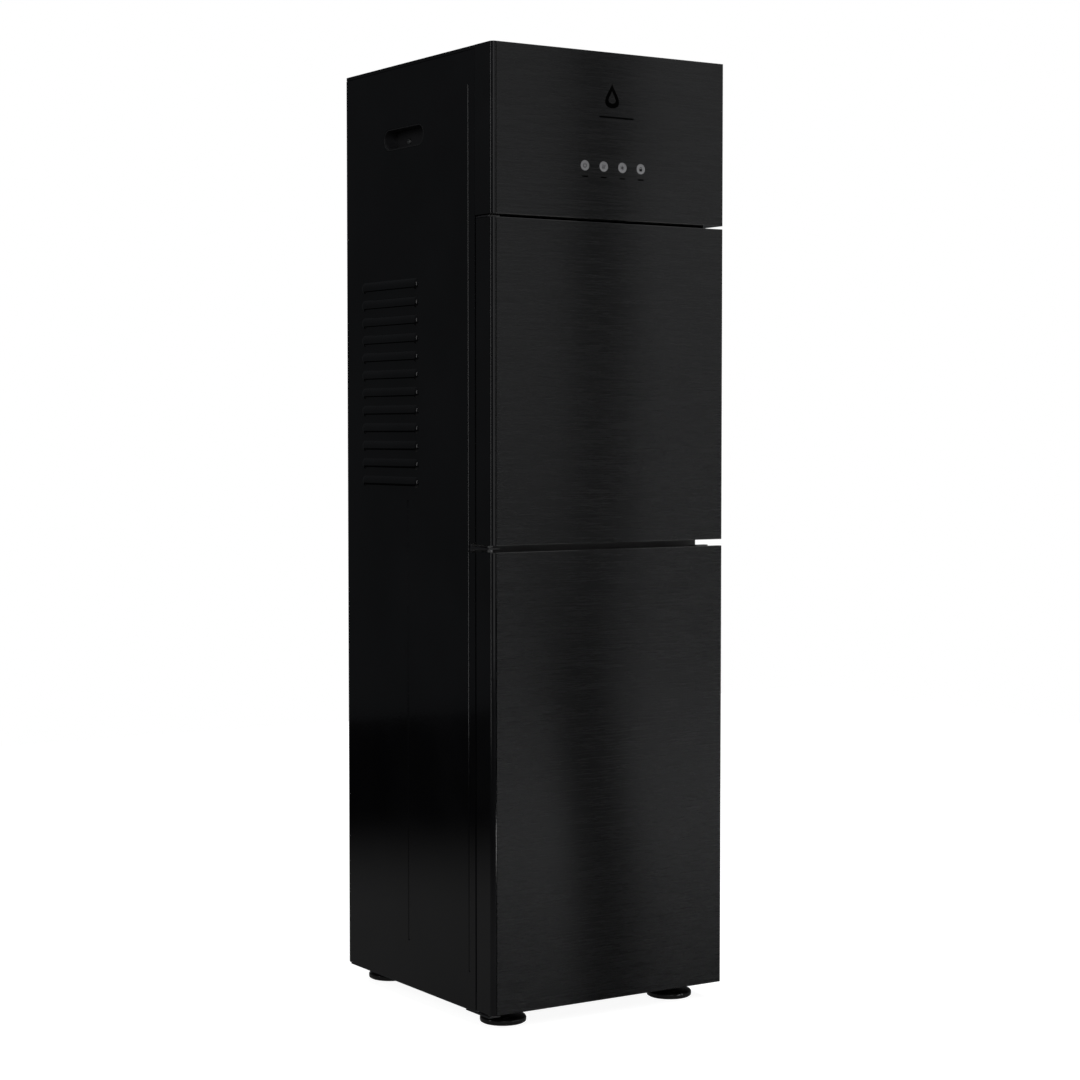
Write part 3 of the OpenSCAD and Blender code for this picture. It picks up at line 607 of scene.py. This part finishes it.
def facing(x, y, z, direction):
    """A frame at (x, y, z) in metres whose Z looks along direction: front, back, left, right or up."""
    turns = {
        "front": Matrix.Rotation(math.pi / 2, 4, "X"),
        "back": Matrix.Rotation(-math.pi / 2, 4, "X"),
        "left": Matrix.Rotation(-math.pi / 2, 4, "Y"),
        "right": Matrix.Rotation(math.pi / 2, 4, "Y"),
        "up": Matrix.Identity(4),
    }
    return Matrix.Translation((x, y, z)) @ turns[direction]


# Outlines in mm, seen from the front: x to the right, y up


def drop_line(width, height, count=64):
    """A water drop with its tip up."""
    widest = 0.65
    line = []
    for i in range(count):
        t = 2 * math.pi * i / count
        line.append((width / 2 * math.sin(t) * math.sin(t / 2) ** 2 / widest, height / 2 * math.cos(t)))
    return line


def arc_line(radius, width, start, end, centre=(0.0, 0.0), count=24):
    """A curved band between two angles in degrees."""
    outer = []
    inner = []
    for i in range(count + 1):
        turn = math.radians(start + (end - start) * i / count)
        for line, r in ((outer, radius + width / 2), (inner, radius - width / 2)):
            line.append((centre[0] + r * math.cos(turn), centre[1] + r * math.sin(turn)))
    return outer + inner[::-1]


def bar_line(length, width, turn=0.0, centre=(0.0, 0.0)):
    """A straight bar through centre, turned by so many degrees from level."""
    along = Vector((math.cos(math.radians(turn)), math.sin(math.radians(turn))))
    across = Vector((-along.y, along.x))
    corners = ((-1, -1), (1, -1), (1, 1), (-1, 1))
    return [tuple(Vector(centre) + along * sx * length / 2 + across * sy * width / 2) for sx, sy in corners]


def wave_line(x, height, width, swing=0.45, count=16):
    """An upright wavy bar."""
    rises = [height * (i / count - 0.5) for i in range(count + 1)]
    middle = [(x + swing * math.sin(2 * math.pi * rise / height), rise) for rise in rises]
    return [(px + width / 2, py) for px, py in middle] + [(px - width / 2, py) for px, py in middle[::-1]]


def plate(bm, outline, frame_matrix, low, high, hole=None, material=0):
    """Raises an outline, less a hole with as many points, between two heights in mm over the frame."""
    def loop(line, height):
        return [frame_matrix @ (Vector((x, y, height)) * MM) for x, y in line]

    if hole is None:
        join_loops(bm, [loop(outline, low), loop(outline, high)], material=material)
    else:
        loops = [loop(outline, low), loop(outline, high), loop(hole, high), loop(hole, low)]
        join_loops(bm, loops, ends="joined", material=material)


# ---------------------------------------------------------------- fascia

# Half of a button's section: radius and height over the skin, in mm
BUTTON_CAP = [
    (0, -0.28), (2.6, -0.27), (4.1, -0.22), (4.9, -0.12), (5.25, -0.03), (5.45, 0), (5.62, -0.06),
    (5.7, -0.22),
    (5.7, -4.5), (7.5, -4.5), (7.5, -6.0), (2.6, -6.0), (2.6, -12.2), (0, -12.2),
]
GLYPHS = {
    "button_power": [arc_line(2.1, 0.55, 125, 415), bar_line(2.4, 0.55, 90, (0, 1.7))],
    "button_hot": [wave_line(x, 4.4, 0.55) for x in (-1.5, 0.0, 1.5)],
    "button_cold": [bar_line(5.2, 0.5, turn) for turn in (30, 90, 150)],
    "button_lock": [bar_line(3.6, 2.6, 0, (0, -1.0)), arc_line(1.25, 0.5, -15, 195, (0, 0.75))],
}


def node_middle(node):
    low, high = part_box(node)
    return (Vector(low) + Vector(high)) / 2


def make_button(node):
    """A dished cap with its flange, its stem and a small symbol."""
    middle = node_middle(node)
    front = facing(middle.x, LOW.y, middle.z, "front")
    bm = bmesh.new()
    lathe(bm, BUTTON_CAP, front)
    for outline in GLYPHS[node]:
        plate(bm, outline, front, -0.4, -0.16, material=1)
    piece = place(node + "_cap", to_mesh(bm, node), node, [SLOT_OF[node], "satin_black_plastic"])
    piece.data.materials[1] = INK
    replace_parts(piece, node)


def make_skin(node, set_back=0.0):
    """A brushed skin with eased edges; set_back leaves room for the print in front of it."""
    bm = cad_copy(node)
    for vert in bm.verts:
        if vert.co.y < LOW.y + 0.01 * MM:
            vert.co.y += set_back
    round_edges(bm, 0.25 * MM)
    piece = place(node + "_rounded", to_mesh(bm, node), node)
    even_normals(piece)
    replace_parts(piece, node)


# The print's thickness and places, in mm
PRINT_MM = 0.1
DROP_X = 1
DROP_BELOW_TOP = 47.5
RULE_X = 7
RULE_BELOW_TOP = 71.5
DASH_BELOW_BUTTON = 12.0


def make_fascia_print():
    """A plain drop, a rule under it and a short dash under each button, as raised print."""
    bm = bmesh.new()
    drop = facing(DROP_X * MM, LOW.y, HIGH.z - DROP_BELOW_TOP * MM, "front")
    hole = [(x, y - 1.5) for x, y in drop_line(9.5, 14.5)]
    plate(bm, drop_line(18.5, 27.5), drop, -PRINT_MM, 0, hole=hole)
    rule = facing(RULE_X * MM, LOW.y, HIGH.z - RULE_BELOW_TOP * MM, "front")
    plate(bm, bar_line(46, 1.8), rule, -PRINT_MM, 0)
    for node in GLYPHS:
        button = node_middle(node)
        mark = facing(button.x, LOW.y, button.z - DASH_BELOW_BUTTON * MM, "front")
        plate(bm, bar_line(7.5, 1.5), mark, -PRINT_MM, 0)
    piece = place("fascia_print", to_mesh(bm, "fascia_print"), "fascia_skin", ["satin_black_plastic"])
    piece.data.materials[0] = INK


# ---------------------------------------------------------------- doors

GASKET_HALF = 3.5


def arc_points(centre, radius, start, end, count=6):
    turns = (math.radians(start + (end - start) * i / count) for i in range(count + 1))
    return [(centre[0] + radius * math.cos(t), centre[1] + radius * math.sin(t)) for t in turns]


def gasket_profile(depth):
    """Section across the seal, as (across, out from the door) in mm: a flat foot, two folds and a lip."""
    lip = arc_points((0, depth - 1.0), 1.0, 0, 180)
    lip = [(x * 1.7, y) for x, y in lip]
    right = [(GASKET_HALF, 0), (GASKET_HALF, 0.5)] + arc_points((2.7, 0.8), 0.45, 20, 160, 4)
    left = [(-x, y) for x, y in right[::-1]]
    return right + lip + left


def make_gasket(node):
    """The seal's section swept round the door."""
    low, high = (Vector(corner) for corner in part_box(node))
    centre = (low + high) / 2
    half_x = (high.x - low.x) / 2 - GASKET_HALF * MM
    half_z = (high.z - low.z) / 2 - GASKET_HALF * MM
    loops = []
    for sx, sz in ((-1, -1), (1, -1), (1, 1), (-1, 1)):
        loop = []
        for across, out in gasket_profile((high.y - low.y) / MM):
            x = centre.x + sx * (half_x + across * MM)
            z = centre.z + sz * (half_z + across * MM)
            loop.append(Vector((x, low.y + out * MM, z)))
        loops.append(loop)
    bm = bmesh.new()
    join_loops(bm, loops, ends="joined")
    piece = place(node + "_profile", to_mesh(bm, node, 50), node)
    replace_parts(piece, node)


def make_door(node):
    """The door's inner face gets a sunk border and a raised field, as a vacuum-formed liner has."""
    bm = cad_copy(node)
    back_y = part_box(node)[1][1] - MM
    facing_back = [f for f in bm.faces if f.normal.y > 0.99 and f.calc_center_median().y > back_y]
    field = max(facing_back, key=lambda f: f.calc_area())
    for border, step in ((19, 0.0), (1.5, -1.4), (9, 0.0), (1.5, 1.2)):
        bmesh.ops.inset_individual(bm, faces=[field], thickness=border * MM)
        bmesh.ops.translate(bm, verts=field.verts, vec=(0, step * MM, 0))
    round_edges(bm, 0.5 * MM)
    piece = place(node + "_rounded", to_mesh(bm, node), node)
    even_normals(piece)
    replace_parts(piece, node)


# ---------------------------------------------------------------- screws, tubes and wires


def recessed_screw(radius, height):
    """One pan head on +Z with a cross recess, as an editable mesh."""
    def solid(name, build):
        bm = bmesh.new()
        build(bm)
        bmesh.ops.recalc_face_normals(bm, faces=bm.faces)
        data = bpy.data.meshes.new(name)
        bm.to_mesh(data)
        bm.free()
        made = bpy.data.objects.new(name, data)
        bpy.context.scene.collection.objects.link(made)
        return made

    def head(bm):
        side = [(0, 0), (radius, 0), (radius, height * 0.45)]
        crown = [(radius * 0.9, height * 0.8), (radius * 0.6, height * 0.97), (0, height)]
        lathe(bm, side + crown, Matrix.Identity(4), segments=32)

    def cross(bm):
        floor, top = height * 0.25, height * 1.2
        for turn in (0, 90):
            small = [Vector((x, y, floor)) * MM for x, y in bar_line(radius * 0.7, radius * 0.2, turn)]
            large = [Vector((x, y, top)) * MM for x, y in bar_line(radius * 1.25, radius * 0.3, turn)]
            join_loops(bm, [small, large])

    blank = solid("screw_blank", head)
    cutter = solid("screw_cutter", cross)
    cut = blank.modifiers.new("cut", "BOOLEAN")
    cut.operation = "DIFFERENCE"
    cut.object = cutter
    cut.use_self = True
    shape = bmesh.new()
    shape.from_mesh(blank.evaluated_get(bpy.context.evaluated_depsgraph_get()).data)
    for spare in (blank, cutter):
        bpy.data.objects.remove(spare)
    return shape


SCREW_HEAD_R = 3.4
SCREW_HEAD_H = 1.5


def make_screws(node):
    """A cross-recessed head at each of the node's solids, with a shank on those in the back."""
    source = cad_copy(node)
    spots = islands(source)
    source.free()
    shape = recessed_screw(SCREW_HEAD_R, SCREW_HEAD_H)
    bm = bmesh.new()
    for low, high in spots:
        middle = (low + high) / 2
        size = high - low
        if size.x < size.z / 2:
            side = math.copysign(1, middle.x)
            outwards = "right" if side > 0 else "left"
            stand = facing(middle.x - side * size.x / 2, middle.y, middle.z, outwards)
        else:
            stand = facing(middle.x, high.y - SCREW_HEAD_H * MM, middle.z, "back")
            shank = facing(middle.x, low.y, middle.z, "back")
            lathe(bm, [(0, 0), (1.1, 0), (1.5, 1), (1.5, 5), (0, 5)], shank, segments=16)
        start = {}
        for vert in shape.verts:
            start[vert] = bm.verts.new(stand @ vert.co)
        for face in shape.faces:
            bm.faces.new([start[vert] for vert in face.verts])
    shape.free()
    piece = place(node + "_recessed", to_mesh(bm, node), node)
    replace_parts(piece, node)


def rounded_route(corners, bend):
    """The route through the corners, in mm, each turned with an arc of radius bend."""
    points = [Vector(corners[0])]
    for before, corner, after in zip(corners, corners[1:], corners[2:]):
        corner = Vector(corner)
        back = (Vector(before) - corner).normalized()
        ahead = (Vector(after) - corner).normalized()
        half_angle = back.angle(ahead) / 2
        reach = bend / math.tan(half_angle)
        centre = corner + (back + ahead).normalized() * bend / math.sin(half_angle)
        first = corner + back * reach - centre
        last = corner + ahead * reach - centre
        for i in range(9):
            points.append(centre + first.slerp(last, i / 8))
    points.append(Vector(corners[-1]))
    return points


def tube_piece(name, node, routes, radius):
    """One piece of round tubes of one radius, along the routes in mm."""
    data = bpy.data.curves.new(name, "CURVE")
    data.dimensions = "3D"
    data.bevel_depth = radius * MM
    data.bevel_resolution = 5
    data.use_fill_caps = True
    for route in routes:
        spline = data.splines.new("POLY")
        spline.points.add(len(route) - 1)
        for point, spot in zip(spline.points, route):
            point.co = (*(Vector(spot) * MM), 1.0)
        spline.use_smooth = True
    piece = bpy.data.objects.new(name, data)
    bpy.context.scene.collection.objects.link(piece)
    data.materials.append(FINISH[SLOT_OF[node]])
    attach(piece, BODY_OF[node])
    return piece


def make_water_tubes():
    """Silicone hoses with round bends: three to the taps, the riser and the pump's outlet, and the drain."""
    low, high = (Vector(corner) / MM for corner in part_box("water_tubes"))
    tap_tail_y = low.y
    hose_top = high.z
    tap_z = 790
    riser_y = 6
    routes = []
    for x in (-62, 0, 62):
        routes.append(rounded_route([(x, tap_tail_y, tap_z), (x, riser_y, tap_z), (x, riser_y, hose_top)], 7))
    probe = Vector(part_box("probe_hose")[0]) / MM
    probe_x = probe.x + 6
    probe_y = probe.y + 6
    deck = low.z
    level = deck + 21.9
    pump_in_x = 106.2
    pump_out_x = 57.8
    pump_out_y = 115
    tank_x = 12
    suction = [(probe_x, probe_y, deck), (probe_x, probe_y, level), (pump_in_x, probe_y, level)]
    riser = [(pump_out_x, pump_out_y, level), (tank_x, pump_out_y, level), (tank_x, pump_out_y, hose_top)]
    routes.append(rounded_route(suction, 8))
    routes.append(rounded_route(riser, 9))
    piece = tube_piece("water_hoses", "water_tubes", routes, 5.95)
    drain = node_middle("drain_plug") / MM
    drain_route = [(drain.x, drain.y - 60, drain.z), (drain.x, drain.y - 9, drain.z)]
    tube_piece("drain_hose", "water_tubes", [drain_route], 4.9)
    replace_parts(piece, "water_tubes")


def make_evaporator():
    """Refrigerant tube wound round the cold tank as one helix."""
    low, high = (Vector(corner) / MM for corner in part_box("evaporator_coil"))
    middle = (low + high) / 2
    tube_r = 3.0
    coil_r = (high.x - low.x) / 2 - tube_r
    turns = 7
    steps = 48 * turns
    route = []
    for i in range(steps + 1):
        angle = 2 * math.pi * turns * i / steps
        rise = low.z + tube_r + (high.z - low.z - 2 * tube_r) * i / steps
        route.append((middle.x + coil_r * math.cos(angle), middle.y + coil_r * math.sin(angle), rise))
    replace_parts(tube_piece("evaporator_helix", "evaporator_coil", [route], tube_r - 0.05), "evaporator_coil")


def make_condenser_wires():
    """Fine upright wires on both sides of the condenser's serpentine."""
    low, high = (Vector(corner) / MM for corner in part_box("condenser"))
    tube_r = 2.4
    wire_r = 0.75
    tube_y = high.y - tube_r
    strap_width = 12
    straps = (low.x + tube_r + 25, high.x - tube_r - 37)
    routes = []
    count = 29
    for i in range(count):
        x = low.x + 20 + (high.x - low.x - 40) * i / (count - 1)
        on_strap = any(start - 1 < x < start + strap_width + 1 for start in straps)
        for side in (-1, 1):
            if side == 1 or not on_strap:
                y = tube_y + side * (tube_r + wire_r * 0.8)
                routes.append([(x, y, low.z + 1), (x, y, high.z - 1)])
    tube_piece("condenser_wires", "condenser", routes, wire_r)


# ---------------------------------------------------------------- probe


def make_probe_cap():
    """A ribbed cap that grips the bottle's neck, with a socket for the tube."""
    low = Vector(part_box("probe_cap")[0])
    middle = node_middle("probe_cap")
    profile = [
        (0, 38), (12.6, 38), (13.6, 37.6), (14, 36.6), (14, 27.2), (14.6, 26.3), (15.6, 26),
        (23.6, 26), (25.2, 25.3), (26, 23.6), (26, 2), (25.6, 0.6), (24.9, 0), (24, 0), (23.5, 0.6),
        (23.5, 22), (6.05, 22), (6.05, 34), (0, 34),
    ]
    bm = bmesh.new()
    stand = facing(middle.x, middle.y, low.z, "up")
    lathe(bm, profile, stand, segments=192, flutes=32, flute_depth=0.9, fluted=(2, 23.6))
    piece = place("probe_cap_ribbed", to_mesh(bm, "probe_cap"), "probe_cap")
    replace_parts(piece, "probe_cap")


def make_probe_hose():
    """A short bellows in place of the probe's hose."""
    low, high = (Vector(corner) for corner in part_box("probe_hose"))
    middle = (low + high) / 2
    length = (high.z - low.z) / MM
    folds = 7
    steps = 10 * folds
    profile = [(0, 0)]
    for i in range(steps + 1):
        profile.append((5.4 - 0.6 * math.cos(2 * math.pi * folds * i / steps), length * i / steps))
    profile.append((0, length))
    bm = bmesh.new()
    lathe(bm, profile, facing(middle.x, middle.y, low.z, "up"), segments=32)
    piece = place("probe_bellows", to_mesh(bm, "probe_hose"), "probe_hose")
    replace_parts(piece, "probe_hose")
    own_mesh(piece)


# ---------------------------------------------------------------- pieces

# How far each plain piece's edges are rounded, in mm
ROUNDED_MM = {
    "fascia_body": 0.5, "top_cover": 0.8, "side_panel_left": 0.35, "side_panel_right": 0.35,
    "side_grips": 0.5, "front_frame": 0.6, "bay_liner": 0.8, "bottle_tray": 0.6, "drip_tray": 0.6,
    "drip_grille": 0.35, "switch_housing": 0.4, "rocker_hot": 0.6, "rocker_cold": 0.6,
    "hinge_brackets": 0.25, "base_pan": 0.3, "probe_holder": 0.4, "taps": 0.5, "cable_gland": 0.4,
    "pump": 1.2, "compressor": 0.8, "drain_plug": 0.6, "tap_lever_hot": 0.7, "tap_lever_ambient": 0.7,
    "tap_lever_cold": 0.7, "foot_front_left": 0.4, "foot_front_right": 0.4, "foot_rear_left": 0.4,
    "foot_rear_right": 0.4, "tank_insulation": 1.5, "back_panel_upper": 0.2, "back_panel_lower": 0.2,
    "mid_deck": 0.3, "upper_deck": 0.3,
}


def main():
    make_camera()
    make_lights()
    make_world()
    make_floor()
    bpy.context.scene.view_settings.view_transform = "Standard"
    finish_cad_nodes()
    for node, width in ROUNDED_MM.items():
        rounded_piece(node, width)
    make_skin("fascia_skin", PRINT_MM * MM)
    make_skin("middle_door_skin")
    make_skin("lower_door_skin")
    make_fascia_print()
    for node in GLYPHS:
        make_button(node)
    for door in ("middle_door", "lower_door"):
        make_door(door + "_body")
        make_gasket(door + "_gasket")
    make_screws("cabinet_screws")
    make_water_tubes()
    make_evaporator()
    make_condenser_wires()
    make_probe_cap()
    make_probe_hose()


main()
